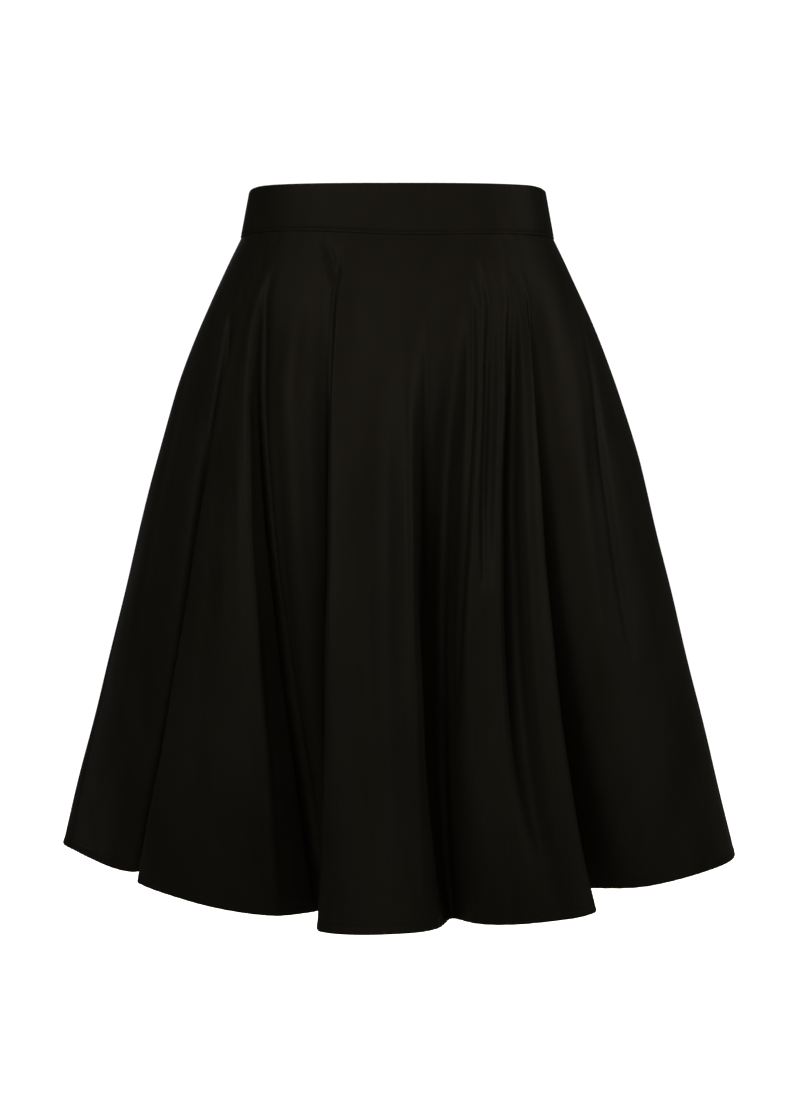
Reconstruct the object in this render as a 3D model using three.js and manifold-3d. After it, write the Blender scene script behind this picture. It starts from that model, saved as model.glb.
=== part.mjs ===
// Knee-length circle skirt with a wide plain waistband, worn and hollow, open at waist and hem.
// Millimetres, +Z up. X is to the right of someone who faces the front, and the front faces -Y.
// The origin lies on the axis of the waist, at half the height of the waistband in front.
// Bearings are in degrees round the skirt: 0 is centre front, 90 is +X and 180 is centre back.
// Left and right in the names of pieces are the wearer's, so left is +X.
import * as THREE from "three";
import Module from "manifold-3d";
import { mergeVertices } from "three/addons/utils/BufferGeometryUtils.js";

// Cloth and seams
const SKIRT_WALL = 1.5;
const BAND_WALL = 2.0;
const SEAM_GAP = 0.3;

// Heights of the waistband's edges
const BAND_TOP = 22.5;
const BAND_SEAM = -23.0;
const TOP_DROP = 8.0;
const TOP_DROP_FROM = 60;
const TOP_DROP_TO = 105;
const SEAM_DROP = 5.0;
const SEAM_DROP_FROM = 95;
const SEAM_DROP_TO = 150;
const SEAM_LIFT_WIDTH = 40;
const SEAM_LIFTS = [
  { bearing: -52, height: 5.0 },
  { bearing: 55, height: 2.5 },
];

// The waistband's oval at its top edge; its seam edge has the skirt's own top section
const BAND_TOP_OVAL = { halfWidth: 129.5, halfDepth: 92.0, squareness: 2.9 };

// Hem heights: lowest at the front, higher from the sides round to the back
const HEM_FRONT = -593.0;
const HEM_SIDE = -565.0;
const HEM_RISE_FROM = 15;
const HEM_RISE_TO = 75;

// Plain ovals that the folds swing in and out of, by share of the drop from seam to hem
const SECTION_COLUMNS = ["share", "halfWidth", "halfDepth", "squareness"];
const SECTION_ROWS = [
  [0.00, 137.0, 96.0, 2.8],
  [0.05, 150.5, 106.0, 2.7],
  [0.11, 166.0, 118.0, 2.55],
  [0.18, 182.0, 131.0, 2.4],
  [0.25, 196.0, 144.0, 2.3],
  [0.37, 215.5, 163.0, 2.2],
  [0.50, 234.0, 182.0, 2.15],
  [0.67, 256.5, 204.0, 2.1],
  [0.84, 278.5, 223.0, 2.1],
  [1.00, 299.0, 240.0, 2.1],
];

// Fold lines in order round the skirt. A fold starts at a share of the drop, its bearing is given
// at the top, middle and hem, and "out" is how far it stands out of the plain oval, in mm.
const TOP_SHARE = 0.1;
const MIDDLE_SHARE = 0.5;
const ONSET = 0.03;
const ONSET_POWER = 1.3;
const FOLD_COLUMNS = ["name", "start", "top", "middle", "hem", "outMiddle", "outHem"];
const FOLD_ROWS = [
  ["side seam right", 0.10, -92, -93, -93, 0, -6],
  ["panel 1 a", 0.10, -85, -85, -86, -3, -19],
  ["panel 1 b", 0.10, -78, -76, -78.5, -6, -29],
  ["panel 1 c", 0.12, -72, -67.5, -71, -8, -32],
  ["panel 1 d", 0.14, -67, -60.5, -65.5, -9, -38],
  ["A hollow", 0.13, -63, -55.2, -59.5, -28, -90],
  ["A back", 0.13, -60.5, -51.8, -54.5, -28, -88],
  ["A edge", 0.13, -59, -53.4, -62.8, 0, -30],
  ["A face", 0.14, -57.5, -51.5, -57.5, 5, -23],
  ["fold 2 a", 0.14, -56.2, -47.5, -50, 5, -24],
  ["fold 2 b", 0.12, -55, -42.5, -39.5, 6, -25],
  ["B ridge", 0.09, -53.5, -37.6, -29.5, 7, -40],
  ["B flank", 0.07, -51.5, -36.6, -26.8, -6, -60],
  ["B hollow", 0.07, -49.5, -35.8, -24, -28, -90],
  ["lobe a", 0.07, -45.5, -33, -21.8, -11, -96],
  ["lobe b", 0.10, -39, -28.5, -20.2, -3, -102],
  ["D hollow", 0.12, -33, -22.8, -18.6, -10, -108],
  ["C hollow", 0.045, -27.6, -17.4, -14.6, -32, -98],
  ["C edge", 0.045, -25.2, -18.9, -18, 1, -19],
  ["C face", 0.06, -23.2, -17, -15.2, 5, -4],
  ["fold 3 a", 0.08, -19.5, -13, -10.5, 3, 4],
  ["fold 3 b", 0.10, -12, -8, -5, 0, 4],
  ["F hollow", 0.12, -3.5, -2.6, -0.5, -6, -1],
  ["G ridge", 0.14, 2.5, 3, 4.5, 7, -6],
  ["H flank", 0.12, 9, 6.2, 8.8, -8, -21],
  ["H slope", 0.10, 17, 10.6, 12, -22, -38],
  ["H hollow", 0.08, 24, 14.6, 14, -38, -68],
  ["I back", 0.07, 28, 17.2, 16.4, -24, -64],
  ["I edge", 0.07, 30.2, 16.9, 17.6, 3, -42],
  ["fold 4 a", 0.07, 32.8, 19.4, 21.5, 4, -26],
  ["J hollow", 0.05, 36.2, 23.2, 25.5, -5, -17],
  ["fold 4 b", 0.06, 40, 26.4, 28.5, 3, -12],
  ["K hollow", 0.05, 43.8, 29.9, 31, -19, -10],
  ["M ridge", 0.06, 46, 33.2, 34.4, 6, -3],
  ["fold 4 c", 0.07, 47.4, 36, 37.8, 4, -3],
  ["L edge", 0.05, 48.6, 38.9, 41.5, 2, -8],
  ["L back", 0.05, 49.8, 40.4, 43.5, -26, -64],
  ["L hollow", 0.05, 51.5, 42, 47.4, -36, -106],
  ["panel 5 a", 0.07, 55, 44.8, 51.2, -16, -66],
  ["panel 5 b", 0.10, 60.5, 49, 54, -7, -32],
  ["panel 5 c", 0.10, 66, 54, 58.5, -4, -20],
  ["N hollow", 0.10, 71, 58.2, 65, -8, -11],
  ["panel 5 d", 0.12, 77, 67, 73, 0, -4],
  ["panel 5 e", 0.12, 83, 79, 81, 1, 0],
  ["side seam left", 0.12, 90, 89, 89, 1, 4],
  ["back 1 a", 0.12, 97, 97, 99, -1, -2],
  ["back 1 b", 0.12, 102, 102, 100, -18, -70],
  ["back 1 c", 0.12, 107, 106.5, 105.5, -20, -72],
  ["back 2 a", 0.10, 111, 109.5, 105.5, 3, 0],
  ["back 2 b", 0.10, 118, 117, 116, 10, 20],
  ["back 2 c", 0.10, 125, 125, 128, 3, 2],
  ["back 3 a", 0.09, 129.5, 130, 128, -24, -80],
  ["back 3 b", 0.09, 135, 134.5, 134.5, -24, -82],
  ["back 4 a", 0.12, 139.5, 138.5, 134.5, 4, 2],
  ["back 4 b", 0.12, 148, 147.5, 146.5, 12, 27],
  ["back 4 c", 0.12, 156, 155.5, 157.5, 5, 4],
  ["back 5 a", 0.15, 161, 160.5, 158, -18, -68],
  ["back 5 b", 0.15, 166.5, 166, 165, -18, -68],
  ["back 6 a", 0.20, 172, 171, 167.5, 2, -4],
  ["centre back", 0.25, 180, 180, 180, 3, 14],
  ["back 7 a", 0.20, 188, 189, 192, 2, -2],
  ["back 8 a", 0.15, 193.5, 194, 193.5, -20, -72],
  ["back 8 b", 0.15, 199, 199.5, 200, -20, -74],
  ["back 9 a", 0.11, 204, 204, 201, 5, 2],
  ["back 9 b", 0.11, 212.5, 213, 213, 13, 28],
  ["back 9 c", 0.11, 220.5, 221.5, 225, 4, 2],
  ["back 10 a", 0.09, 225, 226, 224.5, -23, -80],
  ["back 10 b", 0.09, 230, 230.5, 231, -23, -78],
  ["back 11 a", 0.10, 234.5, 234, 231.5, 3, 0],
  ["back 11 b", 0.10, 240.5, 241, 241.5, 8, 16],
  ["back 11 c", 0.12, 247, 248, 251, -2, -14],
  ["back 11 d", 0.12, 253, 253, 251.5, -12, -52],
  ["right tip", 0.12, 260, 260, 258, 7, 28],
];

// How finely the walls are cut up
const FRONT_STEPS_PER_LINE = 2;
const BACK_STEPS_PER_LINE = 3;
const SKIRT_LEVELS = [0, 0.05, 0.1, 0.16, 0.23, 0.31, 0.4, 0.5, 0.6, 0.7, 0.8, 0.9, 1];
const BAND_FRONT_LEVELS = [1, 0.5, 0];
const BAND_BACK_LEVELS = [1, 0.82, 0.74, 0.66, 0.33, 0];
const BAND_STEP_DEGREES = 4;

// Concealed zip at centre back: tapes inside, a slit that opens a little round the slider's neck
const SLIT_HALF_OPEN = 0.9;
const SLIT_OPEN_FROM = 0.0;
const SLIT_OPEN_TO = 3.5;
const TAPE_WIDTH = 12.5;
const TAPE_WALL = 0.9;
const TAPE_HEIGHTS = [
  13, 8, 3.5, 1.7, 0, -14, -28, -34, -44, -58, -74, -92, -110, -130, -150, -170, -190,
];
const TAPE_CLEARANCE = 0.45;
const TAPE_REACH_DEGREES = 8;

// Slider: body behind the tapes, neck through the slit, round eye outside
const SLIDER_WIDTH = 7.0;
const SLIDER_THICKNESS = 3.0;
const SLIDER_LOW = 3.8;
const SLIDER_HIGH = 13.0;
const SLIDER_CORNER = 1.2;
const NECK_WIDTH = 1.2;
const NECK_HEIGHT = 3.2;
const NECK_OVERLAP = 0.2;
const EYE_WIDTH = 1.6;
const EYE_OUTER_RADIUS = 2.1;
const EYE_INNER_RADIUS = 1.3;
const EYE_HEIGHT = 8.0;
const EYE_CLEARANCE = 0.4;
const EYE_SEGMENTS = 24;

// Pull tab: a teardrop whose top bar runs through the eye, hanging just clear of the waistband
const PULL_THICKNESS = 1.2;
const PULL_TOP_HALF_WIDTH = 2.6;
const PULL_END_RADIUS = 3.6;
const PULL_LENGTH = 21.0;
const PULL_WINDOW_HALF_WIDTH = 1.15;
const PULL_WINDOW_LENGTH = 2.1;
const PULL_LEAN_DEGREES = 3.5;
const PULL_SEGMENTS = 10;

// Finishes
const CLOTH_FINISH = { color: 0x121210, roughness: 0.55, metalness: 0 };
const TAPE_FINISH = { color: 0x151514, roughness: 0.8, metalness: 0 };
const METAL_FINISH = { color: 0x1a1a1b, roughness: 0.4, metalness: 0.7 };

// Small steps and tolerances of the working
const ROUND_STEP = 0.02;
const DOWN_STEP = 0.004;
const WELD_DISTANCE = 1e-4;

const radians = THREE.MathUtils.degToRad;
const tableOf = (columns, rows) =>
  rows.map((row) => Object.fromEntries(columns.map((column, i) => [column, row[i]])));
const SECTIONS = tableOf(SECTION_COLUMNS, SECTION_ROWS);
const FOLDS = tableOf(FOLD_COLUMNS, FOLD_ROWS);
const foldIndex = (name) => FOLDS.findIndex((fold) => fold.name === name);

function ramp(value, from, to) {
  const share = THREE.MathUtils.clamp((value - from) / (to - from), 0, 1);
  return share * share * (3 - 2 * share);
}

// Smooth value of one column of the section table
function sectionValue(column, share) {
  const last = SECTIONS.length - 1;
  let k = 0;
  while (k < last - 1 && share >= SECTIONS[k + 1].share) k += 1;
  const slope = (i) => {
    const low = SECTIONS[Math.max(0, i - 1)];
    const high = SECTIONS[Math.min(last, i + 1)];
    return (high[column] - low[column]) / (high.share - low.share);
  };
  const span = SECTIONS[k + 1].share - SECTIONS[k].share;
  const s = (share - SECTIONS[k].share) / span;
  const rise = s * s * (3 - 2 * s);
  const leave = s * (1 - s) * (1 - s) * span * slope(k);
  const arrive = s * s * (s - 1) * span * slope(k + 1);
  return SECTIONS[k][column] * (1 - rise) + SECTIONS[k + 1][column] * rise + leave + arrive;
}

// Distance from the axis to a squared oval
function ovalReach(bearing, oval) {
  const across = Math.abs(Math.sin(bearing) / oval.halfWidth) ** oval.squareness;
  const along = Math.abs(Math.cos(bearing) / oval.halfDepth) ** oval.squareness;
  return (across + along) ** (-1 / oval.squareness);
}

function sectionOval(share) {
  return {
    halfWidth: sectionValue("halfWidth", share),
    halfDepth: sectionValue("halfDepth", share),
    squareness: sectionValue("squareness", share),
  };
}

// Degrees from centre front, 0 to 180, either way round
function fromFront(bearing) {
  return Math.abs(THREE.MathUtils.euclideanModulo(bearing + 180, 360) - 180);
}

function seamHeight(bearing) {
  const signed = THREE.MathUtils.euclideanModulo(bearing + 180, 360) - 180;
  let height = BAND_SEAM - SEAM_DROP * ramp(fromFront(bearing), SEAM_DROP_FROM, SEAM_DROP_TO);
  for (const lift of SEAM_LIFTS) {
    height += lift.height * Math.exp(-(((signed - lift.bearing) / SEAM_LIFT_WIDTH) ** 2));
  }
  return height;
}

function topHeight(bearing) {
  return BAND_TOP - TOP_DROP * ramp(fromFront(bearing), TOP_DROP_FROM, TOP_DROP_TO);
}

function hemHeight(bearing) {
  return HEM_FRONT + (HEM_SIDE - HEM_FRONT) * ramp(fromFront(bearing), HEM_RISE_FROM, HEM_RISE_TO);
}

// Bearing of a fold line, on a parabola through its three stated bearings
function foldBearing(fold, share) {
  const s = Math.max(share, TOP_SHARE);
  const a = TOP_SHARE;
  const b = MIDDLE_SHARE;
  const top = ((s - b) * (s - 1)) / ((a - b) * (a - 1));
  const middle = ((s - a) * (s - 1)) / ((b - a) * (b - 1));
  const hem = ((s - a) * (s - b)) / ((1 - a) * (1 - b));
  return radians(fold.top * top + fold.middle * middle + fold.hem * hem);
}

// How far a fold line stands out of the plain oval: nothing above its start
function foldOut(fold, share) {
  const grown = Math.max(0, (share - fold.start) / (1 - fold.start));
  const middle = (MIDDLE_SHARE - fold.start) / (1 - fold.start);
  const bend = (fold.outHem - fold.outMiddle / middle) / (1 - middle);
  const onset = 1 - Math.exp(-((grown / ONSET) ** ONSET_POWER));
  return grown * (fold.outHem - bend + bend * grown) * onset;
}

// Plan positions of all fold lines at one level
const levelCache = new Map();
function foldLinesAt(share) {
  if (!levelCache.has(share)) {
    const oval = sectionOval(share);
    const points = FOLDS.map((fold) => {
      const bearing = foldBearing(fold, share);
      const reach = ovalReach(bearing, oval) + foldOut(fold, share);
      return new THREE.Vector2(reach * Math.sin(bearing), -reach * Math.cos(bearing));
    });
    levelCache.set(share, points);
  }
  return levelCache.get(share);
}

// Middle of the cloth: a closed cubic B-spline whose control points are the fold lines.
// along counts fold lines round the skirt, share runs from the seam to the hem.
function clothPoint(along, share) {
  const lines = foldLinesAt(share);
  const k = Math.floor(along);
  const f = along - k;
  const weights = [
    (1 - f) ** 3 / 6,
    (3 * f ** 3 - 6 * f ** 2 + 4) / 6,
    (-3 * f ** 3 + 3 * f ** 2 + 3 * f + 1) / 6,
    f ** 3 / 6,
  ];
  const plan = new THREE.Vector2();
  weights.forEach((weight, i) => {
    const line = lines[THREE.MathUtils.euclideanModulo(k - 1 + i, lines.length)];
    plan.addScaledVector(line, weight);
  });
  const bearing = THREE.MathUtils.radToDeg(Math.atan2(plan.x, -plan.y));
  const top = seamHeight(bearing) - SEAM_GAP / 2;
  return new THREE.Vector3(plan.x, plan.y, top + (hemHeight(bearing) - top) * share);
}

// Outward normal of the cloth, level at the waist seam so that both edges of the wall end there
function clothNormal(along, share) {
  const round = clothPoint(along + ROUND_STEP, share).sub(clothPoint(along - ROUND_STEP, share));
  const below = clothPoint(along, Math.min(1, share + DOWN_STEP));
  const above = clothPoint(along, Math.max(0, share - DOWN_STEP));
  const normal = below.sub(above).cross(round).normalize();
  return share === 0 ? normal.setZ(0).normalize() : normal;
}

// Millimetres of cloth in one unit of along
function clothSpeed(along, share) {
  const ahead = clothPoint(along + ROUND_STEP, share);
  return ahead.distanceTo(clothPoint(along - ROUND_STEP, share)) / (2 * ROUND_STEP);
}

// Closed wall between an outer and an inner grid, rows from the top down and columns by bearing
function wallGeometry(outer, inner) {
  const rows = outer.length;
  const columns = outer[0].length;
  const positions = [];
  for (const grid of [outer, inner]) {
    for (const row of grid) {
      for (const p of row) positions.push(p.x, p.y, p.z);
    }
  }
  const o = (i, j) => i * columns + j;
  const n = (i, j) => rows * columns + i * columns + j;
  const index = [];
  const quad = (a, b, c, d) => index.push(a, b, c, a, c, d);
  for (let i = 0; i < rows - 1; i += 1) {
    for (let j = 0; j < columns - 1; j += 1) {
      quad(o(i, j), o(i + 1, j), o(i + 1, j + 1), o(i, j + 1));
      quad(n(i, j), n(i, j + 1), n(i + 1, j + 1), n(i + 1, j));
    }
    quad(o(i + 1, 0), o(i, 0), n(i, 0), n(i + 1, 0));
    quad(o(i, columns - 1), o(i + 1, columns - 1), n(i + 1, columns - 1), n(i, columns - 1));
  }
  for (let j = 0; j < columns - 1; j += 1) {
    quad(o(0, j), o(0, j + 1), n(0, j + 1), n(0, j));
    quad(o(rows - 1, j + 1), o(rows - 1, j), n(rows - 1, j), n(rows - 1, j + 1));
  }
  const geometry = new THREE.BufferGeometry();
  geometry.setAttribute("position", new THREE.Float32BufferAttribute(positions, 3));
  geometry.setIndex(index);
  geometry.computeVertexNormals();
  return geometry;
}

// Skirt panel between two fold lines that are its seams
function skirtPanel(fromName, toName, stepsPerLine) {
  const from = foldIndex(fromName);
  let to = foldIndex(toName);
  if (to <= from) to += FOLDS.length;
  const steps = (to - from) * stepsPerLine;
  const outer = [];
  const inner = [];
  for (const share of SKIRT_LEVELS) {
    const first = from + SEAM_GAP / 2 / clothSpeed(from, share);
    const last = to - SEAM_GAP / 2 / clothSpeed(to, share);
    const outerRow = [];
    const innerRow = [];
    for (let j = 0; j <= steps; j += 1) {
      const along = THREE.MathUtils.clamp(from + j / stepsPerLine, first, last);
      const middle = clothPoint(along, share);
      const normal = clothNormal(along, share);
      outerRow.push(middle.clone().addScaledVector(normal, SKIRT_WALL / 2));
      innerRow.push(middle.clone().addScaledVector(normal, -SKIRT_WALL / 2));
    }
    outer.push(outerRow);
    inner.push(innerRow);
  }
  return wallGeometry(outer, inner);
}

// Half of the slit's width at centre back, by height
function slitHalf(height) {
  return SEAM_GAP / 2 + (SLIT_HALF_OPEN - SEAM_GAP / 2) * ramp(height, SLIT_OPEN_FROM, SLIT_OPEN_TO);
}

// A point of the waistband: level 0 is its seam edge and level 1 its top edge
function bandPoint(bearing, level, offset) {
  const seam = sectionOval(0);
  const oval = {
    halfWidth: THREE.MathUtils.lerp(seam.halfWidth, BAND_TOP_OVAL.halfWidth, level) + offset,
    halfDepth: THREE.MathUtils.lerp(seam.halfDepth, BAND_TOP_OVAL.halfDepth, level) + offset,
    squareness: THREE.MathUtils.lerp(seam.squareness, BAND_TOP_OVAL.squareness, level),
  };
  const angle = radians(bearing);
  const reach = ovalReach(angle, oval);
  const low = seamHeight(bearing) + SEAM_GAP / 2;
  const height = THREE.MathUtils.lerp(low, topHeight(bearing), level);
  return new THREE.Vector3(reach * Math.sin(angle), -reach * Math.cos(angle), height);
}

// Waistband piece between two seams, whose half gaps are functions of the height
function bandPiece(levels, fromBearing, toBearing, fromHalfGap, toHalfGap) {
  const steps = Math.round((toBearing - fromBearing) / BAND_STEP_DEGREES);
  const outer = [];
  const inner = [];
  for (const level of levels) {
    const outerRow = [];
    const innerRow = [];
    for (let j = 0; j <= steps; j += 1) {
      let bearing = THREE.MathUtils.lerp(fromBearing, toBearing, j / steps);
      const here = bandPoint(bearing, level, 0);
      const perMm = 180 / Math.PI / Math.hypot(here.x, here.y);
      if (j === 0) bearing += fromHalfGap(here.z) * perMm;
      if (j === steps) bearing -= toHalfGap(here.z) * perMm;
      outerRow.push(bandPoint(bearing, level, BAND_WALL / 2));
      innerRow.push(bandPoint(bearing, level, -BAND_WALL / 2));
    }
    outer.push(outerRow);
    inner.push(innerRow);
  }
  return wallGeometry(outer, inner);
}

// Inner face of the cloth beside centre back, by height, where the tapes' outer edges lie
function backInside(height) {
  const seam = seamHeight(180);
  if (height >= seam) {
    const level = THREE.MathUtils.clamp((height - seam) / (topHeight(180) - seam), 0, 1);
    return bandPoint(180 - TAPE_REACH_DEGREES, level, -BAND_WALL / 2).y;
  }
  const share = (height - seam) / (hemHeight(180) - seam);
  const next = SKIRT_LEVELS.findIndex((level) => level > share);
  const span = SKIRT_LEVELS[next] - SKIRT_LEVELS[next - 1];
  const beside = foldIndex("centre back") - 1;
  const above = clothPoint(beside, SKIRT_LEVELS[next - 1]).y;
  const below = clothPoint(beside, SKIRT_LEVELS[next]).y;
  const middle = THREE.MathUtils.lerp(above, below, (share - SKIRT_LEVELS[next - 1]) / span);
  return middle - SKIRT_WALL / 2;
}

// One tape of the zip, a strip that follows the inside of the cloth beside the slit
function tapeStrip(side) {
  const outer = [];
  const inner = [];
  for (const height of TAPE_HEIGHTS) {
    const face = backInside(height) - TAPE_CLEARANCE;
    const near = slitHalf(height) * side;
    const far = (slitHalf(height) + TAPE_WIDTH) * side;
    // columns run by bearing, which at centre back is towards -X
    const ends = side > 0 ? [far, near] : [near, far];
    outer.push(ends.map((x) => new THREE.Vector3(x, face, height)));
    inner.push(ends.map((x) => new THREE.Vector3(x, face - TAPE_WALL, height)));
  }
  return wallGeometry(outer, inner);
}

// Shapes drawn as (y, z) and extruded along X, centred on x = 0
const SIDEWAYS = new THREE.Matrix4().makeBasis(
  new THREE.Vector3(0, 1, 0),
  new THREE.Vector3(0, 0, 1),
  new THREE.Vector3(1, 0, 0),
);
function sidewaysPrism(shape, width, curveSegments) {
  const geometry = new THREE.ExtrudeGeometry(shape, { depth: width, bevelEnabled: false, curveSegments });
  geometry.translate(0, 0, -width / 2);
  return geometry.applyMatrix4(SIDEWAYS);
}

function rectangle(low, high) {
  return new THREE.Shape([
    new THREE.Vector2(low.x, low.y),
    new THREE.Vector2(high.x, low.y),
    new THREE.Vector2(high.x, high.y),
    new THREE.Vector2(low.x, high.y),
  ]);
}

const wasm = await Module();
wasm.setup();

function toManifold(geometry) {
  const bare = geometry.clone();
  bare.deleteAttribute("normal");
  bare.deleteAttribute("uv");
  const merged = mergeVertices(bare, WELD_DISTANCE);
  return new wasm.Manifold(
    new wasm.Mesh({
      numProp: 3,
      vertProperties: new Float32Array(merged.attributes.position.array),
      triVerts: new Uint32Array(merged.index.array),
    }),
  );
}

function fromManifold(solid) {
  const mesh = solid.getMesh();
  const geometry = new THREE.BufferGeometry();
  geometry.setAttribute("position", new THREE.BufferAttribute(mesh.vertProperties, 3));
  geometry.setIndex(new THREE.BufferAttribute(mesh.triVerts, 1));
  geometry.computeVertexNormals();
  return geometry;
}

// Where the pull tab hinges, just outside the waistband
const BAND_BACK_FACE = backInside(EYE_HEIGHT) + BAND_WALL;
const EYE_CENTRE = new THREE.Vector3(0, BAND_BACK_FACE + EYE_CLEARANCE + EYE_OUTER_RADIUS, EYE_HEIGHT);

function sliderGeometry() {
  const tapeBack = Math.min(backInside(SLIDER_LOW), backInside(SLIDER_HIGH)) - TAPE_CLEARANCE - TAPE_WALL;
  const front = tapeBack - TAPE_CLEARANCE;
  const back = front - SLIDER_THICKNESS;
  const corner = SLIDER_CORNER;
  const outline = new THREE.Shape();
  outline.moveTo(back + corner, SLIDER_LOW);
  outline.lineTo(front, SLIDER_LOW);
  outline.lineTo(front, SLIDER_HIGH);
  outline.lineTo(back + corner, SLIDER_HIGH);
  outline.lineTo(back, SLIDER_HIGH - corner);
  outline.lineTo(back, SLIDER_LOW + corner);
  const body = sidewaysPrism(outline, SLIDER_WIDTH, 1);
  const neck = sidewaysPrism(
    rectangle(
      new THREE.Vector2(front - corner, EYE_HEIGHT - NECK_HEIGHT / 2),
      new THREE.Vector2(EYE_CENTRE.y - EYE_INNER_RADIUS - NECK_OVERLAP, EYE_HEIGHT + NECK_HEIGHT / 2),
    ),
    NECK_WIDTH,
    1,
  );
  const ring = new THREE.Shape().absarc(EYE_CENTRE.y, EYE_CENTRE.z, EYE_OUTER_RADIUS, 0, 2 * Math.PI, false);
  const hole = new THREE.Path().absarc(EYE_CENTRE.y, EYE_CENTRE.z, EYE_INNER_RADIUS, 0, 2 * Math.PI, true);
  ring.holes.push(hole);
  const eye = sidewaysPrism(ring, EYE_WIDTH, EYE_SEGMENTS);
  const bore = sidewaysPrism(
    new THREE.Shape().absarc(EYE_CENTRE.y, EYE_CENTRE.z, EYE_INNER_RADIUS, 0, 2 * Math.PI, false),
    EYE_WIDTH * 2,
    EYE_SEGMENTS,
  );
  return fromManifold(toManifold(body).add(toManifold(neck)).add(toManifold(eye)).subtract(toManifold(bore)));
}

// The tab in its own frame: the bar is at its origin and the tab hangs along its -Z
function pullGeometry() {
  const top = PULL_THICKNESS / 2;
  const endCentre = PULL_END_RADIUS - PULL_LENGTH;
  const outline = new THREE.Shape();
  outline.moveTo(-PULL_TOP_HALF_WIDTH, top);
  outline.lineTo(-PULL_TOP_HALF_WIDTH, -top - PULL_WINDOW_LENGTH * 2);
  outline.lineTo(-PULL_END_RADIUS, endCentre);
  outline.absarc(0, endCentre, PULL_END_RADIUS, Math.PI, 2 * Math.PI, false);
  outline.lineTo(PULL_TOP_HALF_WIDTH, -top - PULL_WINDOW_LENGTH * 2);
  outline.lineTo(PULL_TOP_HALF_WIDTH, top);
  const window = rectangle(
    new THREE.Vector2(-PULL_WINDOW_HALF_WIDTH, -top - PULL_WINDOW_LENGTH),
    new THREE.Vector2(PULL_WINDOW_HALF_WIDTH, -top),
  );
  outline.holes.push(window);
  const geometry = new THREE.ExtrudeGeometry(outline, {
    depth: PULL_THICKNESS,
    bevelEnabled: false,
    curveSegments: PULL_SEGMENTS,
  });
  geometry.translate(0, 0, -PULL_THICKNESS / 2);
  geometry.rotateX(Math.PI / 2);
  return geometry;
}

const skirt = new THREE.Group();
function addPiece(name, geometry, finish) {
  const mesh = new THREE.Mesh(geometry, new THREE.MeshStandardMaterial(finish));
  mesh.name = name;
  skirt.add(mesh);
  return mesh;
}

const frontPanel = skirtPanel("side seam right", "side seam left", FRONT_STEPS_PER_LINE);
const backLeftPanel = skirtPanel("side seam left", "centre back", BACK_STEPS_PER_LINE);
const backRightPanel = skirtPanel("centre back", "side seam right", BACK_STEPS_PER_LINE);
addPiece("skirt_front", frontPanel, CLOTH_FINISH);
addPiece("skirt_back_left", backLeftPanel, CLOTH_FINISH);
addPiece("skirt_back_right", backRightPanel, CLOTH_FINISH);

const sideRight = FOLDS[foldIndex("side seam right")].top;
const sideLeft = FOLDS[foldIndex("side seam left")].top;
const plainHalf = () => SEAM_GAP / 2;
const frontBand = bandPiece(BAND_FRONT_LEVELS, sideRight, sideLeft, plainHalf, plainHalf);
const backLeftBand = bandPiece(BAND_BACK_LEVELS, sideLeft, 180, plainHalf, slitHalf);
const backRightBand = bandPiece(BAND_BACK_LEVELS, 180, sideRight + 360, slitHalf, plainHalf);
addPiece("waistband_front", frontBand, CLOTH_FINISH);
addPiece("waistband_back_left", backLeftBand, CLOTH_FINISH);
addPiece("waistband_back_right", backRightBand, CLOTH_FINISH);

addPiece("zip_tape_left", tapeStrip(1), TAPE_FINISH);
addPiece("zip_tape_right", tapeStrip(-1), TAPE_FINISH);
addPiece("zip_slider", sliderGeometry(), METAL_FINISH);

const pull = addPiece("zip_pull", pullGeometry(), METAL_FINISH);
pull.position.copy(EYE_CENTRE);
pull.rotation.x = radians(PULL_LEAN_DEGREES);

export default skirt;
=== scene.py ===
# Knee-length circle skirt, worn and hollow: its cloth, stitching, zip and a plain studio.
# Sizes are in millimetres and turned into metres where a mesh is made. +Z is up, the front faces
# -Y, and left and right in the names of pieces are the wearer's, so left is +X.
# Bearings are in degrees round the skirt: 0 is centre front, 90 is +X and 180 is centre back.
import math

import bmesh
import bpy
import numpy as np
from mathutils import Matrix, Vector


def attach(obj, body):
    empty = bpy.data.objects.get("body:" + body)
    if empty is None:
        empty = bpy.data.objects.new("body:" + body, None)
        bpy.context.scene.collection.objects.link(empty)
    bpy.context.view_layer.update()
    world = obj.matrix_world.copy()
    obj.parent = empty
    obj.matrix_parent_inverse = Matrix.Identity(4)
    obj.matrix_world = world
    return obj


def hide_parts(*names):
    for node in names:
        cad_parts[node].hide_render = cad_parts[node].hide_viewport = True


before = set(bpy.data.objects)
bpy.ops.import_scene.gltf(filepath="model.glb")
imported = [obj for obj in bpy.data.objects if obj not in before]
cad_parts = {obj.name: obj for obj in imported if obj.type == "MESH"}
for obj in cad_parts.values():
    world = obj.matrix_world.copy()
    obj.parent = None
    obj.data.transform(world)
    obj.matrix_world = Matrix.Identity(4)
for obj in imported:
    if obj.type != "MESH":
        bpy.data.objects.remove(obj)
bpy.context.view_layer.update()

MM = 0.001

# Heights of the waistband's edges
BAND_TOP = 22.5
BAND_SEAM = -23.0
TOP_DROP = 8.0
TOP_DROP_BEARINGS = (60, 105)
SEAM_DROP = 5.0
SEAM_DROP_BEARINGS = (95, 150)
SEAM_LIFT_WIDTH = 40
SEAM_LIFTS = ((-52, 5.0), (55, 2.5))

# Half width, half depth and squareness of the waistband's oval at its top edge
BAND_TOP_OVAL = (129.5, 92.0, 2.9)

# Hem heights: lowest at the front, higher from the sides round to the back
HEM_FRONT = -593.0
HEM_SIDE = -565.0
HEM_RISE_BEARINGS = (15, 75)

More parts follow.
